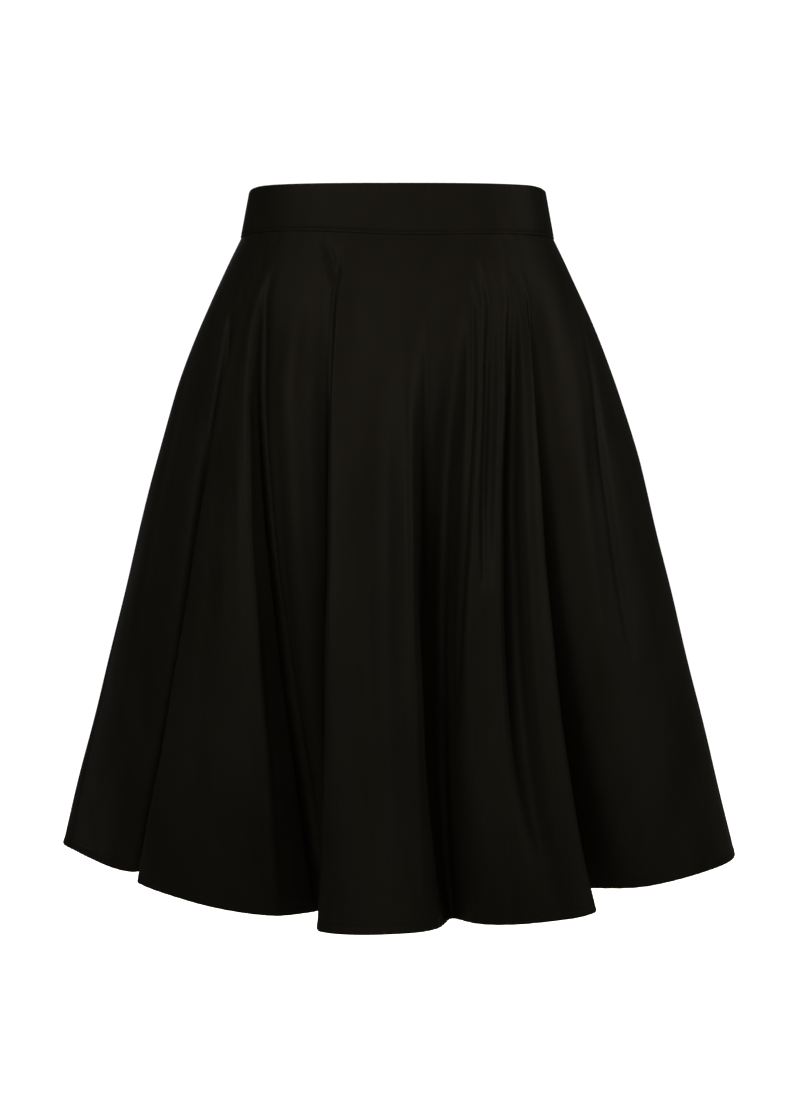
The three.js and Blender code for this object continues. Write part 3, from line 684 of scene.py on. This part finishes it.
def band_columns(start, stop):
    """Bearings of the mesh columns, with a few close to each seam."""
    steps = round((stop - start) / BAND_STEP_DEGREES)
    between = np.linspace(start, stop, steps + 1)[1:-1]
    beside = np.degrees(np.array(BAND_SEAM_COLUMNS) / BAND_MEAN_RADIUS)
    return np.concatenate([start + beside, between, stop - beside[::-1]])


def band_piece(name, start, stop, start_half, stop_half):
    """One piece of the waistband between two seams, with rounded edges, and its width. The halves
    give how far each end stands back from its seam at a height."""
    outer, inner = band_profile()
    bearing = band_columns(start, stop)
    low, high = seam_height(bearing), top_height(bearing)
    rings, uvs = [], []
    for kind, at, offset in outer + inner:
        level = {
            "level": np.full_like(bearing, at),
            "above seam": at / (high - low),
            "below top": 1 - at / (high - low),
        }[kind]
        here = band_point(bearing, level)
        reach = np.hypot(here[:, 0], here[:, 1])
        turned = bearing.copy()
        thinning = np.ones_like(bearing)
        for end, half, sign in ((0, start_half, 1), (-1, stop_half, -1)):
            shift = sign * np.degrees(half(here[end, 2]) / reach[end])
            for k in range(len(BAND_SEAM_COLUMNS) + 1):
                turned[end + sign * k] += shift
            thinning[end] = BAND_SEAM_THINNING
        points = band_point(turned, level)
        outward = unit(points * LEVEL_PARTS)
        rings.append(points + outward * (offset * thinning + band_ripple(turned))[:, None])
        arc = np.concatenate([[0], np.cumsum(np.linalg.norm(np.diff(points, axis=0), axis=1))])
        uvs.append(np.stack([arc - arc[-1] / 2, points[:, 2]], axis=1))
    return shell(name, np.array(rings), len(outer), np.array(uvs)), float(arc[-1])


def capsule():
    """Points and faces of one stitch of unit size: long in X, across in Y, high in Z."""
    sides, rings = STITCH_SIDES, len(STITCH_RINGS)
    turns = [2 * math.pi * k / sides for k in range(sides)]
    points = [
        (x, math.cos(turn) * swell / 2, math.sin(turn) * swell / 2)
        for x, swell in STITCH_RINGS
        for turn in turns
    ]
    faces = [
        (i * sides + k, i * sides + (k + 1) % sides, (i + 1) * sides + (k + 1) % sides,
         (i + 1) * sides + k)
        for i in range(rings - 1)
        for k in range(sides)
    ]
    faces.append(tuple(range(sides)))
    faces.append(tuple((rings - 1) * sides + k for k in reversed(range(sides))))
    return np.array(points), faces


def stitch_line(path, normals, rng):
    """Stitches laid along a path of points with their outward normals."""
    steps = np.linalg.norm(np.diff(path, axis=0), axis=1)
    arc = np.concatenate([[0], np.cumsum(steps)])
    count = int(arc[-1] / STITCH_PITCH)
    template, template_faces = capsule()

    def reading(values, distance):
        return np.array([np.interp(distance, arc, values[:, k]) for k in range(3)])

    points, faces = [], []
    for n in range(count):
        at = (n + 0.5) * arc[-1] / count
        centre = reading(path, at)
        up = unit(reading(normals, at))
        ahead = unit(reading(path, at + STITCH_AHEAD) - centre)
        side = unit(np.cross(up, ahead))
        ahead = unit(ahead + side * rng.normal(0, STITCH_SKEW))
        side = unit(np.cross(up, ahead))
        length = STITCH_LENGTH * rng.uniform(*STITCH_LENGTH_SPREAD)
        local = template * np.array([length, STITCH_WIDTH, STITCH_HEIGHT])
        base = len(points) * len(template)
        points.append(centre + local[:, :1] * ahead + local[:, 1:2] * side + local[:, 2:] * up)
        faces += [tuple(base + k for k in face) for face in template_faces]
    return np.concatenate(points), faces


def join_parts(name, parts):
    """One mesh object from several lists of points and faces."""
    points, faces, base = [], [], 0
    for part_points, part_faces in parts:
        points.append(part_points)
        faces += [tuple(base + k for k in face) for face in part_faces]
        base += len(part_points)
    return new_mesh(name, np.concatenate(points), faces)


# Materials: lengths here are in metres, as the shader nodes take them
NOISE_RANGE = (0.3, 0.7)
GLOSS_OF_CLOTH = 0.005
WARP_PITCH = 0.00032
WEFT_PITCH = 0.00045
WEAVE_UNEVENNESS = 0.6
WEAVE_BUMP = (0.35, 0.00006)
CLOUD_BUMP = (0.5, 0.0006)
GRAIN_BUMP = 0.4

# Noises over the cloth: stretch, scale and detail
CLOUD_NOISE = ((9, 3.5, 1), 1.6, 3.0)
SLUB_NOISE = ((900, 22, 1), 1.0, 2.0)
FIBRE_NOISE = ((1, 1, 1), 1500, 1.0)

# How much each noise moves the colour, the roughness and the height
CLOUD_IN_COLOUR = (0.1, 0.7)
SLUB_IN_COLOUR = (-0.15, 0.3)
CLOUD_IN_ROUGHNESS = (-0.05, 0.06)
FIBRE_IN_HEIGHT = (0, 0.5)
GRAIN_IN_ROUGHNESS = (-0.06, 0.08)


def material(name, base, roughness):
    """A new material with its nodes, links and shader."""
    made = bpy.data.materials.new(name)
    made.use_nodes = True
    nodes, links = made.node_tree.nodes, made.node_tree.links
    shader = nodes["Principled BSDF"]
    shader.inputs["Base Color"].default_value = (*base, 1)
    shader.inputs["Roughness"].default_value = roughness
    return made, nodes, links, shader


def scaled_noise(nodes, links, source, stretch, scale, detail):
    """A noise over the cloth or the piece, stretched along its axes."""
    mapping = nodes.new("ShaderNodeMapping")
    mapping.inputs["Scale"].default_value = stretch
    links.new(source, mapping.inputs["Vector"])
    noise = nodes.new("ShaderNodeTexNoise")
    noise.inputs["Scale"].default_value = scale
    noise.inputs["Detail"].default_value = detail
    links.new(mapping.outputs["Vector"], noise.inputs["Vector"])
    return noise.outputs["Fac"]


def map_range(nodes, links, source, low, high):
    """A noise spread out between low and high."""
    node = nodes.new("ShaderNodeMapRange")
    node.inputs["To Min"].default_value = low
    node.inputs["To Max"].default_value = high
    node.inputs["From Min"].default_value = NOISE_RANGE[0]
    node.inputs["From Max"].default_value = NOISE_RANGE[1]
    links.new(source, node.inputs["Value"])
    return node.outputs["Result"]


def blend_of(nodes, links, factor, dark, light):
    """A colour between dark and light."""
    node = nodes.new("ShaderNodeMix")
    node.data_type = "RGBA"
    node.inputs["A"].default_value = (*dark, 1)
    node.inputs["B"].default_value = (*light, 1)
    links.new(factor, node.inputs["Factor"])
    return node.outputs["Result"]


def maths(nodes, links, operation, first, second):
    """Two values put together by one operation."""
    node = nodes.new("ShaderNodeMath")
    node.operation = operation
    links.new(first, node.inputs[0])
    links.new(second, node.inputs[1])
    return node.outputs["Value"]


def bump_of(nodes, links, height, strength, distance):
    """A bump node that reads a height."""
    node = nodes.new("ShaderNodeBump")
    node.inputs["Strength"].default_value = strength
    node.inputs["Distance"].default_value = distance
    links.new(height, node.inputs["Height"])
    return node


def threads(nodes, links, uv, direction, pitch):
    """Rounded threads across one direction of the cloth, pitch in metres."""
    wave = nodes.new("ShaderNodeTexWave")
    wave.wave_type = "BANDS"
    wave.bands_direction = direction
    wave.wave_profile = "SIN"
    wave.inputs["Scale"].default_value = math.pi / 10 / pitch
    wave.inputs["Distortion"].default_value = WEAVE_UNEVENNESS
    wave.inputs["Detail"].default_value = 1.0
    links.new(uv, wave.inputs["Vector"])
    return wave.outputs["Fac"]


def cloth_material(name, dark, light, roughness):
    """Sateen: fine threads, a faint slub down the cloth and a cloudy sheen."""
    made, nodes, links, shader = material(name, light, roughness)
    shader.inputs["Specular IOR Level"].default_value = GLOSS_OF_CLOTH
    layer = nodes.new("ShaderNodeUVMap")
    layer.uv_map = "cloth"
    uv = layer.outputs["UV"]
    cloud = scaled_noise(nodes, links, uv, *CLOUD_NOISE)
    slub = scaled_noise(nodes, links, uv, *SLUB_NOISE)
    fibre = scaled_noise(nodes, links, uv, *FIBRE_NOISE)

    cloud_shade = map_range(nodes, links, cloud, *CLOUD_IN_COLOUR)
    slub_shade = map_range(nodes, links, slub, *SLUB_IN_COLOUR)
    shade = maths(nodes, links, "ADD", cloud_shade, slub_shade)
    links.new(blend_of(nodes, links, shade, dark, light), shader.inputs["Base Color"])
    smooth, dull = (roughness + change for change in CLOUD_IN_ROUGHNESS)
    links.new(map_range(nodes, links, cloud, smooth, dull), shader.inputs["Roughness"])

    warp = threads(nodes, links, uv, "X", WARP_PITCH)
    weft = threads(nodes, links, uv, "Y", WEFT_PITCH)
    weave = maths(nodes, links, "MULTIPLY", warp, weft)
    fuzz = map_range(nodes, links, fibre, *FIBRE_IN_HEIGHT)
    fine = bump_of(nodes, links, maths(nodes, links, "ADD", weave, fuzz), *WEAVE_BUMP)
    soft = bump_of(nodes, links, cloud, *CLOUD_BUMP)
    links.new(fine.outputs["Normal"], soft.inputs["Normal"])
    links.new(soft.outputs["Normal"], shader.inputs["Normal"])
    return made


def plain_material(name, dark, light, roughness, gloss, metallic, grain_scale, grain_height):
    """A finish with a fine grain in colour, roughness and surface."""
    made, nodes, links, shader = material(name, light, roughness)
    shader.inputs["Specular IOR Level"].default_value = gloss
    shader.inputs["Metallic"].default_value = metallic
    place = nodes.new("ShaderNodeTexCoord").outputs["Object"]
    grain = scaled_noise(nodes, links, place, (1, 1, 1), grain_scale, 3.0)
    links.new(blend_of(nodes, links, grain, dark, light), shader.inputs["Base Color"])
    smooth, dull = (roughness + change for change in GRAIN_IN_ROUGHNESS)
    links.new(map_range(nodes, links, grain, smooth, dull), shader.inputs["Roughness"])
    rise = bump_of(nodes, links, grain, GRAIN_BUMP, grain_height)
    links.new(rise.outputs["Normal"], shader.inputs["Normal"])
    return made


CLOTH = cloth_material("black sateen", (0.0012, 0.0011, 0.0008), (0.0019, 0.0018, 0.0014), 0.47)
THREAD = plain_material(
    "black thread", (0.0011, 0.0010, 0.0008), (0.0019, 0.0017, 0.0013),
    roughness=0.6, gloss=0.006, metallic=0, grain_scale=4000, grain_height=0.00005)
TAPE = plain_material(
    "zip tape", (0.0018, 0.0018, 0.0016), (0.0034, 0.0033, 0.0030),
    roughness=0.8, gloss=0.02, metallic=0, grain_scale=2500, grain_height=0.00008)
NYLON = plain_material(
    "zip coil", (0.003, 0.003, 0.003), (0.005, 0.005, 0.005),
    roughness=0.4, gloss=0.12, metallic=0, grain_scale=900, grain_height=0.00002)
LACQUER = plain_material(
    "black lacquered metal", (0.004, 0.004, 0.005), (0.009, 0.009, 0.010),
    roughness=0.3, gloss=0.3, metallic=0.5, grain_scale=700, grain_height=0.00002)


def finish_piece(piece, look, body="skirt", replaced=()):
    """Give a piece its look and its body, and hide the solids that it stands for."""
    piece.data.materials.clear()
    piece.data.materials.append(look)
    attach(piece, body)
    if replaced:
        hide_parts(*replaced)
    return piece


# Skirt panels
PANELS = (
    ("front_cloth", "side seam right", "side seam left", FRONT_STEPS, "skirt_front"),
    ("back_left_cloth", "side seam left", "centre back", BACK_STEPS, "skirt_back_left"),
    ("back_right_cloth", "centre back", "side seam right", BACK_STEPS, "skirt_back_right"),
)


for name, start, stop, steps, node in PANELS:
    piece, seam_width, hem_width, slant = skirt_panel(name, start, stop, steps)
    finish_piece(piece, CLOTH, replaced=[node])

# Waistband
SIDE_RIGHT = float(FOLDS["top"][fold_index("side seam right")])
SIDE_LEFT = float(FOLDS["top"][fold_index("side seam left")])


def closed(height):
    """A seam that isn't open at any height."""
    return 0.0


BANDS = (
    ("waistband_front_cloth", SIDE_RIGHT, SIDE_LEFT, closed, closed, "waistband_front"),
    ("waistband_back_left_cloth", SIDE_LEFT, 180, closed, slit_half, "waistband_back_left"),
    ("waistband_back_right_cloth", 180, SIDE_RIGHT + 360, slit_half, closed, "waistband_back_right"),
)
for name, start, stop, start_half, stop_half, node in BANDS:
    piece, width = band_piece(name, start, stop, start_half, stop_half)
    finish_piece(piece, CLOTH, replaced=[node])
    height = BAND_TOP - BAND_SEAM

# Stitching
rng = np.random.default_rng(3)
hem_share = np.array([1 - HEM_STITCH_UP / (BAND_SEAM - HEM_FRONT)])
hem_along = np.linspace(0, FOLD_COUNT, HEM_PATH_POINTS)[None]
hem_middle, hem_normal, hem_rise = cloth_surface(hem_along, hem_share)
hem_path = hem_middle + hem_normal * (hem_rise + CLOTH_HALF + HEM_STITCH_LIFT)[..., None]
hem_stitches = join_parts("hem_stitching", [stitch_line(hem_path[0], hem_normal[0], rng)])
finish_piece(hem_stitches, THREAD)

BAND_STITCH_RUNS = (
    (SIDE_RIGHT, SIDE_LEFT),
    (SIDE_LEFT, 180 - BAND_STITCH_GAP),
    (180 + BAND_STITCH_GAP, SIDE_RIGHT + 360),
)
band_parts = []
for start, stop in BAND_STITCH_RUNS:
    bearing = np.linspace(start, stop, BAND_PATH_POINTS)
    level = BAND_STITCH_UP / (top_height(bearing) - seam_height(bearing))
    path = band_point(bearing, level)
    outward = unit(path * LEVEL_PARTS)
    path = path + outward * (BAND_HALF - BAND_STITCH_SINK + band_ripple(bearing))[:, None]
    band_parts.append(stitch_line(path, outward, rng))
band_stitches = join_parts("waistband_stitching", band_parts)
finish_piece(band_stitches, THREAD)


# Zip
def back_inside(height):
    """Inner face of the cloth beside centre back, by height."""
    seam = float(seam_height(180))
    if height >= seam:
        level = (height - seam) / (float(top_height(180)) - seam)
        band = band_point(np.array([TAPE_BEARING]), np.array([level]))
        return float(band[0, 1]) - BAND_HALF
    share = (height - seam) / (float(hem_height(180)) - seam)
    beside = fold_index("centre back") - 1
    cloth = cloth_middle(np.array([[beside]], float), np.array([share]))
    return float(cloth[0, 0, 1]) - 2 * CLOTH_HALF


def zip_tape(name, side):
    """A woven tape inside the cloth: side is 1 on the left and -1 on the right."""
    heights = np.linspace(TAPE_TOP, TAPE_BOTTOM, TAPE_ROWS)
    columns = np.linspace(0, 1, TAPE_COLUMNS)
    face = np.array([back_inside(h) for h in heights]) - TAPE_CLEARANCE
    near = slit_half(heights) * side
    x = near[:, None] + side * TAPE_WIDTH * (columns if side < 0 else columns[::-1])[None]
    y = np.repeat(face[:, None], len(columns), axis=1) + TAPE_RIPPLE * np.sin(x * TAPE_RIPPLE_RATE)
    z = np.repeat(heights[:, None], len(columns), axis=1)
    outer = np.stack([x, y, z], axis=2)
    inner = outer - np.array([0, TAPE_WALL, 0])
    rings = np.concatenate([outer, inner[::-1]])
    uvs = rings[..., [0, 2]]
    return shell(name, rings, len(heights), uvs)


def tooth():
    """One coil tooth of unit size."""
    mesh = bmesh.new()
    bmesh.ops.create_icosphere(mesh, subdivisions=1, radius=0.5)
    points = np.array([v.co[:] for v in mesh.verts])
    faces = [tuple(v.index for v in f.verts) for f in mesh.faces]
    mesh.free()
    return points, faces


def zip_teeth(name, side):
    """The coil along one tape, half a pitch on from the other's."""
    template, template_faces = tooth()
    count = int((TEETH_TOP - TEETH_BOTTOM) / TOOTH_PITCH)
    points, faces = [], []
    for n in range(count):
        height = TEETH_TOP - (n + (0.5 if side > 0 else 0)) * TOOTH_PITCH
        y = back_inside(height) - TAPE_CLEARANCE - TAPE_WALL - TOOTH_SIZE[1] / 2
        centre = np.array([side * (float(slit_half(height)) + TOOTH_REACH), y, height])
        faces += [tuple(n * len(template) + k for k in face) for face in template_faces]
        points.append(centre + template * np.array(TOOTH_SIZE))
    return new_mesh(name, np.concatenate(points), faces)


for side, label in ((1, "left"), (-1, "right")):
    tape = zip_tape(f"zip_tape_{label}_cloth", side)
    finish_piece(tape, TAPE, replaced=[f"zip_tape_{label}"])
    finish_piece(zip_teeth(f"zip_teeth_{label}", side), NYLON)


def bevelled_copy(name, node, width):
    """A metal piece on its solid's form, with its edges softened."""
    copy = bpy.data.objects.new(name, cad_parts[node].data.copy())
    bpy.context.scene.collection.objects.link(copy)
    mesh = bmesh.new()
    mesh.from_mesh(copy.data)
    bmesh.ops.remove_doubles(mesh, verts=mesh.verts, dist=1e-6)
    bmesh.ops.dissolve_limit(mesh, angle_limit=math.radians(1), verts=mesh.verts, edges=mesh.edges)
    sharp = [
        edge for edge in mesh.edges
        if len(edge.link_faces) == 2 and edge.calc_face_angle() > math.radians(SHARP_DEGREES)
    ]
    bmesh.ops.bevel(mesh, geom=sharp, offset=width * MM, segments=2, profile=0.5, affect="EDGES",
                    clamp_overlap=True)
    mesh.to_mesh(copy.data)
    mesh.free()
    copy.data.shade_smooth()
    return copy


slider = bevelled_copy("zip_slider_body", "zip_slider", SLIDER_EDGE)
finish_piece(slider, LACQUER, replaced=["zip_slider"])
pull = bevelled_copy("zip_pull_tab", "zip_pull", PULL_EDGE)
finish_piece(pull, LACQUER, body="zip_pull", replaced=["zip_pull"])

# Studio, in metres: a round floor that is seen as plain white and is pale to the lamps
FLOOR_HEIGHT = -1.05
FLOOR_RADIUS = 40.0
FLOOR_SIDES = 64
FLOOR_COLOUR = (0.5, 0.5, 0.5)
FLOOR_ROUGHNESS = 0.9
floor_turns = np.linspace(0, 2 * math.pi, FLOOR_SIDES, endpoint=False)
floor_points = [(FLOOR_RADIUS * math.cos(a), FLOOR_RADIUS * math.sin(a), FLOOR_HEIGHT) for a in floor_turns]
floor_mesh = bpy.data.meshes.new("floor")
floor_mesh.from_pydata(floor_points, [], [tuple(range(FLOOR_SIDES))])
floor = bpy.data.objects.new("floor", floor_mesh)
bpy.context.scene.collection.objects.link(floor)
floor_look, floor_nodes, floor_links, floor_shader = material("pale floor", FLOOR_COLOUR, FLOOR_ROUGHNESS)
floor_shader.inputs["Specular IOR Level"].default_value = 0.0
floor_shader.inputs["Emission Color"].default_value = (1, 1, 1, 1)
floor_seen = floor_nodes.new("ShaderNodeLightPath").outputs["Is Camera Ray"]
floor_links.new(floor_seen, floor_shader.inputs["Emission Strength"])
floor_mesh.materials.append(floor_look)

# The surround is plain white to look at, and sheds a dimmer light than that on the cloth
SURROUND_SEEN = 1.12
SURROUND_LIGHT = 0.2
world = bpy.data.worlds.new("studio")
world.use_nodes = True
world_nodes, world_links = world.node_tree.nodes, world.node_tree.links
background = world_nodes["Background"]
background.inputs["Color"].default_value = (1, 1, 1, 1)
surround = world_nodes.new("ShaderNodeMapRange")
surround.inputs["To Min"].default_value = SURROUND_LIGHT
surround.inputs["To Max"].default_value = SURROUND_SEEN
surround_seen = world_nodes.new("ShaderNodeLightPath").outputs["Is Camera Ray"]
world_links.new(surround_seen, surround.inputs["Value"])
world_links.new(surround.outputs["Result"], background.inputs["Strength"])
bpy.context.scene.world = world

# Soft warm lamps: name, place, what each faces, width, height and power in watts
LAMP_COLOUR = (1.0, 0.905, 0.80)
LAMPS = (
    ("key", (-1.05, -1.7, 0.98), (0, 0, -0.2), 0.6, 0.7, 113),
    ("fill", (2.0, -0.6, 0.8), (0, 0, -0.2), 0.5, 0.8, 114),
    ("front", (0.0, -1.3, 0.34), (0, 0, -0.1), 1.3, 0.25, 31),
    ("back", (-0.4, 2.6, 1.5), (0, 0, -0.25), 1.0, 1.2, 180),
)
for name, place, target, width, height, power in LAMPS:
    light = bpy.data.lights.new(name, "AREA")
    light.shape = "RECTANGLE"
    light.size = width
    light.size_y = height
    light.energy = power
    light.color = LAMP_COLOUR
    lamp = bpy.data.objects.new(name, light)
    lamp.location = place
    direction = Vector(target) - Vector(place)
    lamp.rotation_euler = direction.to_track_quat("-Z", "Y").to_euler()
    bpy.context.scene.collection.objects.link(lamp)

# Camera at the photograph's place, in front and a little above the middle, pitched down by degrees
CAMERA_PLACE = (0.0023, -2.5, -0.1533)
CAMERA_PITCH = 3.4529
CAMERA_LENS = 90.56
CAMERA_SENSOR = 36
camera_data = bpy.data.cameras.new("camera")
camera_data.sensor_width = CAMERA_SENSOR
camera_data.lens = CAMERA_LENS
camera = bpy.data.objects.new("camera", camera_data)
camera.location = CAMERA_PLACE
camera.rotation_euler = (math.radians(90 - CAMERA_PITCH), 0, 0)
bpy.context.scene.collection.objects.link(camera)
bpy.context.scene.camera = camera
bpy.context.scene.view_settings.view_transform = "Standard"
